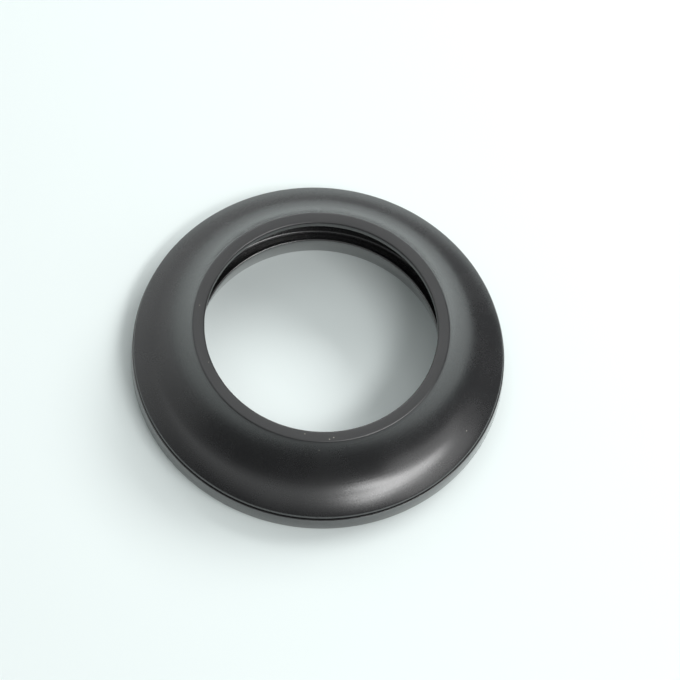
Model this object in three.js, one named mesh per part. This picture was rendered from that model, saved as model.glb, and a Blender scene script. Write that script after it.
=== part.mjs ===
import * as THREE from 'three';

// Fork dust cover: one moulded rubber ring that slides down a motorbike fork's inner tube.
// Millimetres, +Z up, origin at the centre of the flat base, the bore along Z.

// Body
const bodyHeight = 11.6;
const footRadius = 28;

// Top lip, which wipes the tube
const boreRadius = 17.5;
const crownWidth = 1.77;
const crownRounding = 0.35;
const lipThickness = 1.4;
const lipOverhang = 0.9;
const boreRounding = 0.3;
const lipRounding = 0.45;

// Foot, rim and the shadow line between them
const footDraft = 0.05;
const footHeight = 2.55;
const shadowLineHeight = 0.4;
const shadowLineDepth = 0.5;
const rimInset = 0.22;
const rimLand = 0.3;
const rimRounding = 0.3;

// Outer flank: a convex shoulder above the rim, then a hollow sweep that steepens up to the crown
const shoulderRadius = 14;
const shoulderLowSlope = 40;
const shoulderHighSlope = 27;
const crownSlope = 62;
const sweepHighPull = 0.46;
const sweepLowPull = 0.23;

// Inside: a channel moulded up behind the flank, a lower lip that rises inward, and a tapering foot bore
const channelRadius = 20.7;
const channelFloor = 2.5;
const channelBulge = 0.7;
const channelRounding = 0.35;
const lowerLipRadius = 18.05;
const lowerLipHeight = 5.2;
const lowerLipLand = 1.2;
const lowerLipRounding = 0.2;
const ridgeRadius = 19.2;
const ridgeDrop = 1.4;
const footBoreRadius = 18.85;

// Facets round the ring
const ringFacets = 80;

const radians = THREE.MathUtils.degToRad;
const at = (radius, height) => new THREE.Vector2(radius, height);
const toward = (angle, length) => at(length * Math.cos(radians(angle)), length * Math.sin(radians(angle)));

// Points along a round stretch, from one direction of its radius to another, in degrees
function arc(centre, radius, from, to, steps) {
  const points = [];
  for (let i = 0; i <= steps; i++) {
    points.push(toward(from + (to - from) * i / steps, radius).add(centre));
  }
  return points;
}

// Points on the shorter way round a centre, from one point to another
function arcBetween(centre, from, to, steps) {
  const start = from.clone().sub(centre).angle();
  const end = to.clone().sub(centre).angle();
  const turn = THREE.MathUtils.euclideanModulo(end - start + Math.PI, 2 * Math.PI) - Math.PI;
  const startDegrees = THREE.MathUtils.radToDeg(start);
  const endDegrees = THREE.MathUtils.radToDeg(start + turn);
  return arc(centre, from.distanceTo(centre), startDegrees, endDegrees, steps);
}

// A corner of the outline rounded to a radius, between the points before and after it
function rounded(before, corner, after, radius, steps) {
  const back = before.clone().sub(corner).normalize();
  const on = after.clone().sub(corner).normalize();
  const halfAngle = Math.acos(back.dot(on)) / 2;
  const toCentre = back.clone().add(on).normalize().multiplyScalar(radius / Math.sin(halfAngle));
  const centre = corner.clone().add(toCentre);
  const touch = radius / Math.tan(halfAngle);
  const from = back.multiplyScalar(touch).add(corner);
  const to = on.multiplyScalar(touch).add(corner);
  return arcBetween(centre, from, to, steps);
}

// The foot's outer wall, the shadow line cut in above it, and the rim's upright land
function footAndRim() {
  const rimRadius = footRadius - rimInset;
  const shadowTop = footHeight + shadowLineHeight;
  return [
    at(footBoreRadius, 0),
    at(footRadius, 0),
    at(footRadius - footDraft, footHeight),
    at(rimRadius - shadowLineDepth, footHeight),
    at(rimRadius - shadowLineDepth, shadowTop),
    at(rimRadius, shadowTop),
  ];
}

// From the top of the rim's land over its rounded edge and up the shoulder and sweep to the crown
function outerFlank() {
  const landTop = footHeight + shadowLineHeight + rimLand;
  const roundingCentre = at(footRadius - rimInset - rimRounding, landTop);
  const lowNormal = 90 - shoulderLowSlope;
  const highNormal = 90 - shoulderHighSlope;
  const shoulderCentre = roundingCentre.clone().sub(toward(lowNormal, shoulderRadius - rimRounding));
  const rounding = arc(roundingCentre, rimRounding, 0, lowNormal, 4);
  const shoulder = arc(shoulderCentre, shoulderRadius, lowNormal, highNormal, 4);

  const start = shoulder.at(-1);
  const crownEdge = at(boreRadius + crownWidth, bodyHeight);
  const downFlank = toward(-crownSlope, 1);
  const end = crownEdge.clone().add(downFlank.clone().multiplyScalar(crownRounding));
  const reach = start.distanceTo(end);
  const sweep = new THREE.CubicBezierCurve(
    start,
    start.clone().add(toward(180 - shoulderHighSlope, sweepLowPull * reach)),
    end.clone().add(downFlank.multiplyScalar(sweepHighPull * reach)),
    end,
  );
  const crown = at(boreRadius, bodyHeight);
  return [
    ...rounding,
    ...shoulder.slice(1),
    ...sweep.getPoints(7).slice(1),
    ...rounded(end, crownEdge, crown, crownRounding, 3),
  ];
}

// The bore between the rounded inner edges of the top lip
function topLip() {
  const underside = bodyHeight - lipThickness;
  const upper = at(boreRadius, bodyHeight);
  const lower = at(boreRadius, underside);
  return [
    ...rounded(at(boreRadius + crownWidth, bodyHeight), upper, lower, boreRounding, 3),
    ...rounded(upper, lower, at(boreRadius + lipOverhang, underside), lipRounding, 3),
  ];
}

// The channel's round back wall, from the underside of the top lip out and down to its floor
function channelBack() {
  const top = at(boreRadius + lipOverhang, bodyHeight - lipThickness);
  const bottom = at(channelRadius, channelFloor);
  const chord = bottom.clone().sub(top);
  const radius = chord.lengthSq() / (8 * channelBulge) + channelBulge / 2;
  const outward = at(-chord.y, chord.x).normalize();
  const middle = top.clone().add(bottom).multiplyScalar(0.5);
  const centre = middle.add(outward.multiplyScalar(channelBulge - radius));
  return arcBetween(centre, top, bottom, 7);
}

// From the channel's rounded floor up the lower lip's two slopes, over its edge and down its land
function lowerLip(back) {
  const floor = at(channelRadius, channelFloor);
  const ridge = at(ridgeRadius, lowerLipHeight - ridgeDrop);
  const edge = at(lowerLipRadius, lowerLipHeight);
  const landFoot = at(lowerLipRadius, lowerLipHeight - lowerLipLand);
  return [
    ...rounded(back, floor, ridge, channelRounding, 3),
    ridge,
    ...rounded(ridge, edge, landFoot, lowerLipRounding, 3),
    landFoot,
  ];
}

function dustCover() {
  const back = channelBack().slice(0, -1);
  const section = [
    ...footAndRim(),
    ...outerFlank(),
    ...topLip(),
    ...back,
    ...lowerLip(back.at(-1)),
    at(footBoreRadius, 0),
  ];
  const geometry = new THREE.LatheGeometry(section, ringFacets).rotateX(Math.PI / 2);
  const rubber = new THREE.MeshStandardMaterial({ color: 0x1c1d1f, roughness: 0.45, metalness: 0 });
  const mesh = new THREE.Mesh(geometry, rubber);
  mesh.name = 'dust_cover';
  return mesh;
}

const part = new THREE.Group();
part.add(dustCover());

export default part;
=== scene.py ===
# %% [markdown]
# This scene dresses one small part: the rubber dust cover of a motorbike fork.
# The real cover is a single moulding. It slides down the fork's inner tube, its top lip wipes the
# tube clean, and its foot sits on the fork leg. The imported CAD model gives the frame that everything
# is built in: each size comes from that frame or is named here in mm.

# %% Load the frame
import math

import bpy
from mathutils import Matrix, Vector


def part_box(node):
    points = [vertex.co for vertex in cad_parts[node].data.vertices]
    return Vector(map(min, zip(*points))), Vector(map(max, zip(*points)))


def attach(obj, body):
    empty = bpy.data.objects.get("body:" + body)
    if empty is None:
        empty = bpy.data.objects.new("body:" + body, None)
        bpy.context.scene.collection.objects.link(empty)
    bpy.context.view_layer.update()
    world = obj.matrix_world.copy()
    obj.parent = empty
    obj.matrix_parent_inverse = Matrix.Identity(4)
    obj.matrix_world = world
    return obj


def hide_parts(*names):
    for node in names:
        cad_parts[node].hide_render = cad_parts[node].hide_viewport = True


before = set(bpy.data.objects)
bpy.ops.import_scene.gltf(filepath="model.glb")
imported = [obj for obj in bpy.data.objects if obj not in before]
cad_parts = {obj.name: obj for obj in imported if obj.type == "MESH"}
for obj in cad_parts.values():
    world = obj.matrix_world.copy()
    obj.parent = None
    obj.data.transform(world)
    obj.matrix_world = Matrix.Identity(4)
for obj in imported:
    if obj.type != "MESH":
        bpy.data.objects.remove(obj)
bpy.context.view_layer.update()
MM = 0.001
print("frame nodes:", sorted(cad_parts))

# %% [markdown]
# The ring is round, so its whole form is in one section. The overall height and the foot come from
# the CAD node's own box. The rest are the sizes of the moulding: the lip at the top, the channel
# moulded up behind the flank, the lower lip and the foot.

# %% Sizes of the moulding
node_low, node_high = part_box("dust_cover")
BODY_HEIGHT = node_high.z
FOOT_RADIUS = node_high.x

BORE_RADIUS = 17.5 * MM
CROWN_WIDTH = 1.77 * MM
CROWN_ROUNDING = 0.35 * MM
LIP_THICKNESS = 1.4 * MM
LIP_OVERHANG = 0.9 * MM
BORE_ROUNDING = 0.3 * MM
LIP_ROUNDING = 0.45 * MM

FOOT_DRAFT = 0.05 * MM
FOOT_HEIGHT = 2.55 * MM
FOOT_ROUNDING = 0.08 * MM
SHADOW_LINE_HEIGHT = 0.4 * MM
SHADOW_LINE_DEPTH = 0.5 * MM
RIM_RADIUS = FOOT_RADIUS - 0.22 * MM
RIM_LAND = 0.3 * MM
RIM_ROUNDING = 0.3 * MM

SHOULDER_RADIUS = 14 * MM
SHOULDER_LOW_SLOPE = 40
SHOULDER_HIGH_SLOPE = 27
CROWN_SLOPE = 62
SWEEP_HIGH_PULL = 0.46
SWEEP_LOW_PULL = 0.23

CHANNEL_RADIUS = 20.7 * MM
CHANNEL_FLOOR = 2.5 * MM
CHANNEL_BULGE = 0.7 * MM
CHANNEL_ROUNDING = 0.35 * MM
LOWER_LIP_RADIUS = 18.05 * MM
LOWER_LIP_HEIGHT = 5.2 * MM
LOWER_LIP_LAND = 1.2 * MM
LOWER_LIP_ROUNDING = 0.2 * MM
RIDGE_RADIUS = 19.2 * MM
RIDGE_DROP = 1.4 * MM
FOOT_BORE_RADIUS = 18.85 * MM
across = (2 * BORE_RADIUS, 2 * FOOT_RADIUS, BODY_HEIGHT)
print("bore %.1f mm, foot %.1f mm across, %.1f mm high" % tuple(v / MM for v in across))

# %% [markdown]
# A mould has hardly any sharp corner: even its crisp edges have a radius that you can measure.
# Those small radii catch the light as thin bright lines, so each corner of the section is rounded
# by a small helper instead of a bevel that would treat all edges alike.

# %% Helpers for the section


def at(radius, height):
    return Vector((radius, height))


def toward(degrees, length):
    angle = math.radians(degrees)
    return Vector((math.cos(angle), math.sin(angle))) * length


def arc(centre, radius, start, end, steps):
    """Points on a round stretch between two directions, in degrees"""
    return [centre + toward(start + (end - start) * i / steps, radius) for i in range(steps + 1)]


def heading(vector):
    return math.degrees(math.atan2(vector.y, vector.x))


def arc_between(centre, first, last, steps):
    """Points on the shorter way round a centre, from one point to another"""
    start = heading(first - centre)
    turn = (heading(last - centre) - start + 180) % 360 - 180
    return arc(centre, (first - centre).length, start, start + turn, steps)


CORNER_STEPS = 8


def rounded(before, corner, after, radius, steps=CORNER_STEPS):
    """A corner rounded to a radius, between the points before and after it"""
    back = (before - corner).normalized()
    on = (after - corner).normalized()
    half_angle = back.angle(on) / 2
    centre = corner + (back + on).normalized() * radius / math.sin(half_angle)
    touch = radius / math.tan(half_angle)
    return arc_between(centre, corner + back * touch, corner + on * touch, steps)


def sweep_curve(start, start_pull, end_pull, end, steps):
    """Points on a curve that leaves and arrives along its two pulls"""
    points = []
    for i in range(steps + 1):
        t = i / steps
        u = 1 - t
        points.append(u**3 * start + 3 * u * u * t * start_pull + 3 * u * t * t * end_pull + t**3 * end)
    return points


print("a quarter round in", len(rounded(at(1, 0), at(0, 0), at(0, 1), 0.2)), "points")

# %% [markdown]
# The outline goes round the section once: along the base, up the foot, over the rim, up the flank to
# the crown, down the bore and through the channel back to the foot. Curves get many points here,
# because this mesh is the one that is looked at.

# %% The outside of the section
FOOT_STEPS = 3
SHOULDER_STEPS = 12
SWEEP_STEPS = 28


def foot_and_rim():
    base_edge = at(FOOT_RADIUS, 0)
    wall_top = at(FOOT_RADIUS - FOOT_DRAFT, FOOT_HEIGHT)
    shadow_top = FOOT_HEIGHT + SHADOW_LINE_HEIGHT
    line_radius = RIM_RADIUS - SHADOW_LINE_DEPTH
    return [
        *rounded(at(FOOT_BORE_RADIUS, 0), base_edge, wall_top, FOOT_ROUNDING, FOOT_STEPS),
        *rounded(base_edge, wall_top, at(line_radius, FOOT_HEIGHT), FOOT_ROUNDING, FOOT_STEPS),
        at(line_radius, FOOT_HEIGHT),
        at(line_radius, shadow_top),
        at(RIM_RADIUS, shadow_top),
    ]


def outer_flank():
    land_top = FOOT_HEIGHT + SHADOW_LINE_HEIGHT + RIM_LAND
    rounding_centre = at(RIM_RADIUS - RIM_ROUNDING, land_top)
    low_normal = 90 - SHOULDER_LOW_SLOPE
    high_normal = 90 - SHOULDER_HIGH_SLOPE
    shoulder_centre = rounding_centre - toward(low_normal, SHOULDER_RADIUS - RIM_ROUNDING)
    rounding = arc(rounding_centre, RIM_ROUNDING, 0, low_normal, CORNER_STEPS)
    shoulder = arc(shoulder_centre, SHOULDER_RADIUS, low_normal, high_normal, SHOULDER_STEPS)

    start = shoulder[-1]
    crown_edge = at(BORE_RADIUS + CROWN_WIDTH, BODY_HEIGHT)
    down_flank = toward(-CROWN_SLOPE, 1)
    end = crown_edge + down_flank * CROWN_ROUNDING
    reach = (end - start).length
    start_pull = start + toward(180 - SHOULDER_HIGH_SLOPE, SWEEP_LOW_PULL * reach)
    end_pull = end + down_flank * SWEEP_HIGH_PULL * reach
    sweep = sweep_curve(start, start_pull, end_pull, end, SWEEP_STEPS)
    crown = at(BORE_RADIUS, BODY_HEIGHT)
    return [*rounding, *shoulder[1:], *sweep[1:], *rounded(end, crown_edge, crown, CROWN_ROUNDING)]


print("outside:", len(foot_and_rim()) + len(outer_flank()), "points")

# %% The inside of the section
BACK_STEPS = 7


def top_lip():
    underside = BODY_HEIGHT - LIP_THICKNESS
    upper = at(BORE_RADIUS, BODY_HEIGHT)
    lower = at(BORE_RADIUS, underside)
    return [
        *rounded(at(BORE_RADIUS + CROWN_WIDTH, BODY_HEIGHT), upper, lower, BORE_ROUNDING),
        *rounded(upper, lower, at(BORE_RADIUS + LIP_OVERHANG, underside), LIP_ROUNDING),
    ]


def channel_back():
    top = at(BORE_RADIUS + LIP_OVERHANG, BODY_HEIGHT - LIP_THICKNESS)
    bottom = at(CHANNEL_RADIUS, CHANNEL_FLOOR)
    chord = bottom - top
    radius = chord.length_squared / (8 * CHANNEL_BULGE) + CHANNEL_BULGE / 2
    outward = at(-chord.y, chord.x).normalized()
    centre = (top + bottom) / 2 + outward * (CHANNEL_BULGE - radius)
    return arc_between(centre, top, bottom, BACK_STEPS)


def lower_lip(back):
    floor = at(CHANNEL_RADIUS, CHANNEL_FLOOR)
    ridge = at(RIDGE_RADIUS, LOWER_LIP_HEIGHT - RIDGE_DROP)
    edge = at(LOWER_LIP_RADIUS, LOWER_LIP_HEIGHT)
    land_foot = at(LOWER_LIP_RADIUS, LOWER_LIP_HEIGHT - LOWER_LIP_LAND)
    return [
        *rounded(back, floor, ridge, CHANNEL_ROUNDING),
        ridge,
        *rounded(ridge, edge, land_foot, LOWER_LIP_ROUNDING),
        land_foot,
    ]


back_wall = channel_back()[:-1]
inside = [*top_lip(), *back_wall, *lower_lip(back_wall[-1]), at(FOOT_BORE_RADIUS, 0)]
outline = [at(FOOT_BORE_RADIUS, 0), *foot_and_rim(), *outer_flank(), *inside]
print("whole outline:", len(outline), "points")

# %% [markdown]
# To model a round moulding by hand, you draw its section as a chain of edges and spin the chain
# round the axis. The chain starts as a plane whose corners are merged into one vertex, and each
# further vertex is extruded from the last. The spin's last copy lies on the first, so the doubles
# are merged, and then the normals are made to face outwards.

# %% Draw the section and spin it
AROUND = 288
MERGE = 0.002 * MM


def spin_outline(name, section):
    points = [Vector((p.x, 0, p.y)) for p in section]
    bpy.ops.object.select_all(action="DESELECT")
    bpy.ops.mesh.primitive_plane_add(size=MM, location=points[0])
    piece = bpy.context.object
    piece.name = name
    bpy.ops.object.transform_apply(location=True, rotation=True, scale=True)
    bpy.ops.object.mode_set(mode="EDIT")
    bpy.ops.mesh.select_all(action="SELECT")
    bpy.ops.mesh.merge(type="CENTER")
    for before, after in zip(points, points[1:]):
        bpy.ops.mesh.extrude_region_move(TRANSFORM_OT_translate={"value": after - before})
    bpy.ops.mesh.select_all(action="SELECT")
    bpy.ops.mesh.remove_doubles(threshold=MERGE)
    bpy.ops.mesh.select_all(action="SELECT")
    bpy.ops.mesh.spin(steps=AROUND, angle=math.tau, center=(0, 0, 0), axis=(0, 0, 1))
    bpy.ops.mesh.select_all(action="SELECT")
    bpy.ops.mesh.remove_doubles(threshold=MERGE)
    bpy.ops.mesh.normals_make_consistent(inside=False)
    bpy.ops.object.mode_set(mode="OBJECT")
    return piece


ring = spin_outline("rubber_ring", outline)
triangles = sum(len(face.vertices) - 2 for face in ring.data.polygons)
print("ring:", len(ring.data.vertices), "vertices,", triangles, "triangles")

# %% [markdown]
# Smooth shading would smear light over the few true corners, such as those of the shadow line.
# Shading smooth by angle keeps edges of more than 35 degrees crisp and blends the rest.

# %% Shade the ring
CRISP_ANGLE = 35
bpy.ops.object.select_all(action="DESELECT")
ring.select_set(True)
bpy.context.view_layer.objects.active = ring
bpy.ops.object.shade_smooth_by_angle(angle=math.radians(CRISP_ANGLE))
loose_edges = sum(1 for edge in ring.data.edges if edge.is_loose)
print("loose edges:", loose_edges)

# %% [markdown]
# A material is a small sum over the surface: a mask times a colour, plus noise times a little
# roughness. Node by node that is hard to read, so this class wraps a socket and lets Python's own
# operators add the Math nodes. Every other node comes from one method, which sets the node's
# settings first and its sockets after.

# %% Shader maths as Python expressions


class Shade:
    """A node's socket, on which the operators + - and * add Math nodes"""

    def __init__(self, socket):
        self.socket = socket
        self.tree = socket.id_data

    @staticmethod
    def node(tree, kind, settings=None, sockets=None, output=0):
        made = tree.nodes.new(kind)
        for name, value in (settings or {}).items():
            setattr(made, name, value)
        for name, value in (sockets or {}).items():
            if isinstance(value, Shade):
                tree.links.new(value.socket, made.inputs[name])
            else:
                made.inputs[name].default_value = value
        return Shade(made.outputs[output]) if made.outputs else None

    def maths(self, operation, first, second, clamp=False):
        settings = {"operation": operation, "use_clamp": clamp}
        return Shade.node(self.tree, "ShaderNodeMath", settings, {0: first, 1: second})

    def __add__(self, other):
        return self.maths("ADD", self, other)

    def __radd__(self, other):
        return self.maths("ADD", other, self)

    def __sub__(self, other):
        return self.maths("SUBTRACT", self, other)

    def __rsub__(self, other):
        return self.maths("SUBTRACT", other, self)

    def __mul__(self, other):
        return self.maths("MULTIPLY", self, other)

    def __rmul__(self, other):
        return self.maths("MULTIPLY", other, self)

    def rises(self, start, end):
        """0 up to start, 1 from end, and a straight rise between"""
        return self.maths("MULTIPLY", self - start, 1 / (end - start), clamp=True)

    def highest(self, other):
        return self.maths("MAXIMUM", self, other)


def empty_material(name):
    material = bpy.data.materials.new(name)
    material.use_nodes = True
    material.node_tree.nodes.clear()
    return material, material.node_tree


def vector_maths(tree, operation, *vectors, output="Vector"):
    sockets = dict(enumerate(vectors))
    return Shade.node(tree, "ShaderNodeVectorMath", {"operation": operation}, sockets, output)


# The Mix node has sockets of the same name for each kind of data, so its colour ones go by number
MIX_AMOUNT = 0
MIX_FIRST_COLOUR = 6
MIX_SECOND_COLOUR = 7
MIX_COLOUR_RESULT = 2


def blend(tree, amount, first, second):
    """A colour between two, where an amount of 0 gives the first"""
    sockets = {MIX_AMOUNT: amount, MIX_FIRST_COLOUR: first, MIX_SECOND_COLOUR: second}
    return Shade.node(tree, "ShaderNodeMix", {"data_type": "RGBA"}, sockets, MIX_COLOUR_RESULT)


print("shader helpers ready")

# %% [markdown]
# Moulded rubber is a very dark grey with a satin skin. Its gloss isn't even: the crown is a little
# duller and has faint streaks round it where the tube's wiping edge was trimmed, the flank has a fine
# bloom, and the foot's walls are smoother and mirror the sheet that they stand on at a low angle.
# Inside the channel the colour is lightened as painted light, for the light that reaches that recess.
# All of it is read from Object coordinates: the distance from the axis and the height.

# %% Rubber: colour and gloss
RUBBER = (0.0125, 0.0125, 0.0135, 1)
# The lighter colour: bloom on clouds and streaks, and painted light inside the channel
BLOOM_AND_PAINTED_LIGHT = (0.027, 0.027, 0.028, 1)
DUST = (0.33, 0.31, 0.27, 1)
REFRACTION = 1.86
FOOT_REFRACTION = 1.6

SATIN = 0.27
CROWN_SATIN = 0.38
FOOT_SATIN = 0.20
DUST_ROUGHNESS = 0.8
CLOUD_ROUGHNESS = 0.10
GRAIN_ROUGHNESS = 0.06
print("rubber %.4f, bloom %.4f, roughness %.2f" % (RUBBER[0], BLOOM_AND_PAINTED_LIGHT[0], SATIN))

# %% Rubber: how fine its patterns are and how much they count
GRAIN_PER_METRE = 9000
GRAIN_DETAIL = 2.0
CLOUD_PER_METRE = 160
CLOUD_DETAIL = 4.0
CLOUD_START = 0.35
CLOUD_FULL = 0.85
CLOUD_SHARE = 0.40

RINGS_PER_METRE = 3800
RING_DETAIL = 3.0
STREAKS_AROUND = 5
STREAKS_PER_METRE = 4200
STREAK_DETAIL = 2.0
STREAK_START = 0.50
STREAK_FULL = 0.75
STREAK_SHARE = 0.55

NOISE_MIDDLE = 0.5
GRAIN_RELIEF = 0.5
STREAK_RELIEF = 0.5
BUMP_STRENGTH = 0.35
BUMP_DEPTH = 0.01 * MM
print("grain %.2f mm, rings %.2f mm" % (1 / GRAIN_PER_METRE / MM, 1 / RINGS_PER_METRE / MM))

# %% [markdown]
# A few light specks of dust stick to the rubber. Each is a dot on the surface, given by its direction
# from the axis and its distance from it. Its height is that of the outline there, so that a speck
# stays on the surface when a size changes.

# %% Dust specks: degrees round from the right, radius and size in mm
SPECKS = [
    (279.5, 18.86, 0.12),
    (281.5, 18.62, 0.12),
    (268.0, 18.19, 0.11),
    (275.0, 20.03, 0.09),
    (334.5, 25.88, 0.10),
    (176.0, 18.52, 0.09),
    (206.5, 18.04, 0.08),
]


def surface_height(radius):
    """The height of the flank and the crown at a distance from the axis"""
    top = [*outer_flank(), at(BORE_RADIUS, BODY_HEIGHT)]
    for outer, inner in zip(top, top[1:]):
        if inner.x <= radius < outer.x:
            return outer.lerp(inner, (outer.x - radius) / (outer.x - inner.x)).y
    return BODY_HEIGHT


def speck_place(turn, radius):
    angle = math.radians(turn)
    return Vector((radius * math.cos(angle), radius * math.sin(angle), surface_height(radius)))


def specks(tree, point):
    """1 on a speck and 0 elsewhere"""
    covered = None
    for turn, radius, size in SPECKS:
        away = vector_maths(tree, "DISTANCE", point, speck_place(turn, radius * MM), output="Value")
        dot = 1 - away.rises(size * MM / 2, size * MM)
        covered = dot if covered is None else covered.highest(dot)
    return covered


heights = [round(surface_height(radius * MM) / MM, 2) for _, radius, _ in SPECKS]
print("speck heights in mm:", heights)

# %% Rubber: places and patterns on it


def object_point(tree):
    return Shade.node(tree, "ShaderNodeTexCoord", output="Object")


def one_axis(tree, vector, axis):
    return Shade.node(tree, "ShaderNodeSeparateXYZ", {}, {"Vector": vector}, axis)


def rubber_places(tree):
    """The object point, the direction from the axis, the distance from it and the height, in metres"""
    point = object_point(tree)
    flat = vector_maths(tree, "MULTIPLY", point, (1, 1, 0))
    radius = vector_maths(tree, "LENGTH", flat, output="Value")
    return point, vector_maths(tree, "NORMALIZE", flat), radius, one_axis(tree, point, "Z")


def noise(tree, point, scale, detail):
    return Shade.node(tree, "ShaderNodeTexNoise", {}, {"Vector": point, "Scale": scale, "Detail": detail})


def mould_rings(tree, radius):
    """Fine uneven rings, which vary with the distance from the axis alone"""
    sockets = {"W": radius, "Scale": RINGS_PER_METRE, "Detail": RING_DETAIL}
    return Shade.node(tree, "ShaderNodeTexNoise", {"noise_dimensions": "1D"}, sockets)


def streaks(tree, outward, radius):
    """Long faint marks round the axis: fine across the ring, slow along it"""
    across = Shade.node(tree, "ShaderNodeCombineXYZ", {}, {"Z": radius * STREAKS_PER_METRE})
    along = vector_maths(tree, "MULTIPLY", outward, (STREAKS_AROUND, STREAKS_AROUND, 0))
    place = vector_maths(tree, "ADD", along, across)
    return noise(tree, place, 1.0, STREAK_DETAIL).rises(STREAK_START, STREAK_FULL)


print("patterns: noise, mould rings and streaks")

# %% [markdown]
# Three regions of the ring look different: the crown, the foot's walls and the channel. A mask for each
# is 1 there and 0 elsewhere, worked out from the same sizes as the shape. The channel's mask places
# painted light.

# %% Rubber: masks
FOOT_EDGE = 0.2 * MM
CHANNEL_SLANT = 0.35


def crown_mask(height):
    return height.rises(BODY_HEIGHT - 2 * CROWN_ROUNDING, BODY_HEIGHT - CROWN_ROUNDING / 2)


def foot_mask(height, radius):
    """1 on the upright walls of the foot, outside and in the bore"""
    below_lip = 1 - height.rises(LOWER_LIP_HEIGHT - LOWER_LIP_ROUNDING, LOWER_LIP_HEIGHT)
    inner_wall = below_lip * (1 - radius.rises(FOOT_BORE_RADIUS, FOOT_BORE_RADIUS + FOOT_EDGE))
    below_rim = 1 - height.rises(FOOT_HEIGHT, FOOT_HEIGHT + FOOT_EDGE)
    wall_radius = FOOT_RADIUS - FOOT_DRAFT
    outer_wall = below_rim * radius.rises(wall_radius - FOOT_EDGE, wall_radius)
    return inner_wall.highest(outer_wall)


def channel_mask(height, radius):
    """1 inside the channel, behind a slanting line half way through the ring's wall"""
    # This mask places painted light: the colour is lightened inside the channel
    wall_middle = CHANNEL_RADIUS - CHANNEL_SLANT * (height - LOWER_LIP_HEIGHT)
    inside = (wall_middle - radius).rises(0, CHANNEL_BULGE)
    return inside * (1 - height.rises(BODY_HEIGHT - LIP_THICKNESS, BODY_HEIGHT - CROWN_ROUNDING))


print("masks: crown, foot and channel")

# %% [markdown]
# Now the sum itself. The roughness starts from the satin skin, the bloom lightens the colour in clouds
# and on the streaks, the colour is lightened in the channel as painted light, and a very shallow bump
# gives the grain and the mould rings.
# A clear coat lies on the foot's walls alone, because they shine more than the rest.

# %% Rubber: the material


def rubber_material():
    material, tree = empty_material("satin_rubber")
    point, outward, radius, height = rubber_places(tree)
    grain = noise(tree, point, GRAIN_PER_METRE, GRAIN_DETAIL)
    cloud = noise(tree, point, CLOUD_PER_METRE, CLOUD_DETAIL)
    crown = crown_mask(height)
    foot = foot_mask(height, radius)
    streak = streaks(tree, outward, radius) * crown
    dust = specks(tree, point)

    skin = SATIN + crown * (CROWN_SATIN - SATIN)
    skin = skin + (cloud - NOISE_MIDDLE) * CLOUD_ROUGHNESS + (grain - NOISE_MIDDLE) * GRAIN_ROUGHNESS
    roughness = (skin * (1 - foot) + foot * FOOT_SATIN).highest(dust * DUST_ROUGHNESS)

    bloom_and_painted_light = (cloud.rises(CLOUD_START, CLOUD_FULL) * CLOUD_SHARE).highest(streak * STREAK_SHARE)
    # Painted light: inside the channel the colour is lightened for the light that reaches that recess
    bloom_and_painted_light = bloom_and_painted_light.highest(channel_mask(height, radius))
    colour = blend(tree, dust, blend(tree, bloom_and_painted_light, RUBBER, BLOOM_AND_PAINTED_LIGHT), DUST)

    rings = (mould_rings(tree, radius) - NOISE_MIDDLE) * (1 - foot)
    relief = (grain - NOISE_MIDDLE) * GRAIN_RELIEF + rings + streak * STREAK_RELIEF
    bump_sockets = {"Strength": BUMP_STRENGTH, "Distance": BUMP_DEPTH, "Height": relief}
    bump = Shade.node(tree, "ShaderNodeBump", {}, bump_sockets)

    sockets = {"Base Color": colour, "Roughness": roughness, "Normal": bump, "IOR": REFRACTION}
    sockets.update({"Coat Weight": foot, "Coat Roughness": FOOT_SATIN, "Coat IOR": FOOT_REFRACTION})
    surface = Shade.node(tree, "ShaderNodeBsdfPrincipled", {}, sockets)
    Shade.node(tree, "ShaderNodeOutputMaterial", {}, {"Surface": surface})
    return material


ring.data.materials.clear()
ring.data.materials.append(rubber_material())
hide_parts("dust_cover")
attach(ring, "root")
print("rubber nodes:", len(ring.data.materials[0].node_tree.nodes))

# %% [markdown]
# The camera stands high over the front of the ring, far off with a long lens, and leans a little,
# as in the photograph. Its place follows from the angle, the aim and the scale of the picture. Near
# and far clipping are set for a small object seen from a long way off.

# %% Camera
PICTURE_SIZE = 680
PIXELS_PER_MM = 6.6704
VIEW_ELEVATION = 62.77
VIEW_LEAN = 6.45
VIEW_DISTANCE = 3.0
AIM_HEIGHT = 5 * MM
AIM_RIGHT = 3.001 * MM
AIM_UP = 1.359 * MM
SENSOR_WIDTH = 36
NEAR_CLIP = 0.1
FAR_CLIP = 20


def photo_camera():
    bpy.ops.object.camera_add()
    camera = bpy.context.object
    camera.name = "photo_camera"
    elevation = math.radians(VIEW_ELEVATION)
    lean = math.radians(VIEW_LEAN)
    look = Vector((0, math.cos(elevation), -math.sin(elevation)))
    level = Vector((1, 0, 0))
    upright = Vector((0, math.sin(elevation), math.cos(elevation)))
    place = Vector((0, 0, AIM_HEIGHT)) - look * VIEW_DISTANCE + level * AIM_RIGHT + upright * AIM_UP
    right = math.cos(lean) * level + math.sin(lean) * upright
    up = math.cos(lean) * upright - math.sin(lean) * level
    turn = Matrix((right, up, -look)).transposed().to_4x4()
    camera.matrix_world = Matrix.Translation(place) @ turn
    picture_width = PICTURE_SIZE / PIXELS_PER_MM * MM
    camera.data.sensor_width = SENSOR_WIDTH
    camera.data.lens = SENSOR_WIDTH * VIEW_DISTANCE / picture_width
    camera.data.clip_start = NEAR_CLIP
    camera.data.clip_end = FAR_CLIP
    return camera


bpy.context.scene.camera = photo_camera()
print("lens in mm: %.0f" % bpy.context.scene.camera.data.lens)

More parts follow.
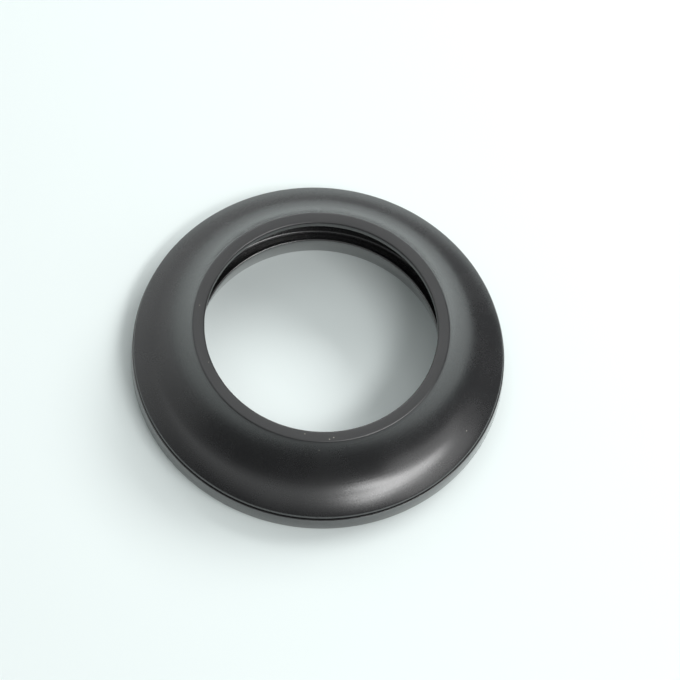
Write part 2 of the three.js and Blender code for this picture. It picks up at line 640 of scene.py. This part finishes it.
# %% [markdown]
# The ring lies on a pale, faintly blue-green sheet. A plane will do for it, as it carries nothing but
# the ring's shadow, and its own colour makes the background pale. Out of the picture, in front of the
# ring,
# the floor is painted dark: painted shade for the dim front of the room, which the dark near flank
# mirrors.

# %% Floor
FLOOR_SIZE = 8
FLOOR_COLOUR = (0.83, 0.90, 0.89, 1)
# Painted shade: the floor out of the picture in front is painted dark for the near flank to mirror
PAINTED_FRONT_SHADE = (0.19, 0.19, 0.20, 1)
FRONT_SHADE_START = 0.09
FRONT_SHADE_FADE = 0.10
NEAR_RIGHT = Vector((0.42, -0.91, 0))
FLOOR_ROUGHNESS = 0.6


def floor_material():
    material, tree = empty_material("pale_sheet")
    nearness = vector_maths(tree, "DOT_PRODUCT", object_point(tree), NEAR_RIGHT, output="Value")
    # Painted shade: toward the near right, beyond the picture, the floor's colour turns dark
    colour = blend(tree, nearness.rises(FRONT_SHADE_START, FRONT_SHADE_START + FRONT_SHADE_FADE), FLOOR_COLOUR, PAINTED_FRONT_SHADE)
    sockets = {"Base Color": colour, "Roughness": FLOOR_ROUGHNESS}
    surface = Shade.node(tree, "ShaderNodeBsdfPrincipled", {}, sockets)
    Shade.node(tree, "ShaderNodeOutputMaterial", {}, {"Surface": surface})
    return material


bpy.ops.object.select_all(action="DESELECT")
bpy.ops.mesh.primitive_plane_add(size=FLOOR_SIZE, location=(0, 0, 0))
floor = bpy.context.object
floor.name = "floor"
floor.data.materials.append(floor_material())
print("floor %.0f m across" % floor.dimensions.x)

# %% [markdown]
# Black rubber shows its surroundings, so each bright patch on the ring tells where the light was. The
# highlight on the near right shoulder mirrors a direction in front of the right side and half way up
# the sky: one soft lamp hangs there. A broad dim one below it carries that highlight further round to
# the right. A lamp straight behind draws the thin light line along the crown's far edge. The shadow to
# the lower left, and the one inside the far right of the bore, ask for a lamp behind on the right. No
# face of the ring mirrors it in the photograph, so it is kept out of the reflections.

# %% Lamps: degrees round and up, width and height in metres, power in watts
LAMP_DISTANCE = 0.7


def lamp(name, side, elevation, width, height, power):
    """A soft lamp that faces the ring: a side of 0 is straight behind it and 90 is to the right"""
    turn = math.radians(side)
    lift = math.radians(elevation)
    direction = Vector((math.sin(turn) * math.cos(lift), math.cos(turn) * math.cos(lift), math.sin(lift)))
    bpy.ops.object.light_add(type="AREA", location=direction * LAMP_DISTANCE)
    made = bpy.context.object
    made.name = name
    made.rotation_mode = "QUATERNION"
    made.rotation_quaternion = direction.to_track_quat("Z", "Y")
    made.data.shape = "RECTANGLE"
    made.data.size = width
    made.data.size_y = height
    made.data.energy = power
    return made


lamp("shoulder_lamp", 122, 53, 0.44, 0.15, 1.8)
lamp("side_lamp", 108, 34, 0.50, 0.26, 0.39)
lamp("back_lamp", 355, 38, 0.50, 0.14, 0.6)
shadow_lamp = lamp("shadow_lamp", 44, 33, 0.46, 0.20, 3.5)
shadow_lamp.visible_glossy = False

# %% [markdown]
# The room gives the rest of the light. It is dim in front, a little paler toward the right, pale toward
# the ceiling, and brightest behind on the left, where the far and left flanks shine. The world adds up
# these glows from the direction alone. Each glow starts where the direction lies far enough its way
# and is full at a second mark.

# %% Room
ROOM_COLOUR = (0.97, 1.0, 1.0, 1)
DIM_TONE = 0.083
LEFT_BACK = Vector((-0.64, 0.77, 0))
LEFT_BACK_START = 0.1
LEFT_BACK_FULL = 1.0
LEFT_BACK_GLOW = 0.645
RIGHT_START = 0
RIGHT_FULL = 0.9
RIGHT_GLOW = 0.028
CEILING_START = 0.64
CEILING_FULL = 0.82
CEILING_GLOW = 0.425


def room():
    world = bpy.data.worlds.new("room")
    bpy.context.scene.world = world
    world.use_nodes = True
    tree = world.node_tree
    tree.nodes.clear()
    direction = Shade.node(tree, "ShaderNodeTexCoord", output="Generated")
    left_back = vector_maths(tree, "DOT_PRODUCT", direction, LEFT_BACK, output="Value")
    rightward = one_axis(tree, direction, "X")
    upward = one_axis(tree, direction, "Z")
    glow = DIM_TONE + left_back.rises(LEFT_BACK_START, LEFT_BACK_FULL) * LEFT_BACK_GLOW
    glow = glow + rightward.rises(RIGHT_START, RIGHT_FULL) * RIGHT_GLOW
    glow = glow + upward.rises(CEILING_START, CEILING_FULL) * CEILING_GLOW
    lit = Shade.node(tree, "ShaderNodeBackground", {}, {"Color": ROOM_COLOUR, "Strength": glow})
    Shade.node(tree, "ShaderNodeOutputWorld", {}, {"Surface": lit})


room()
bpy.context.scene.view_settings.view_transform = "Standard"
print("view transform:", bpy.context.scene.view_settings.view_transform)
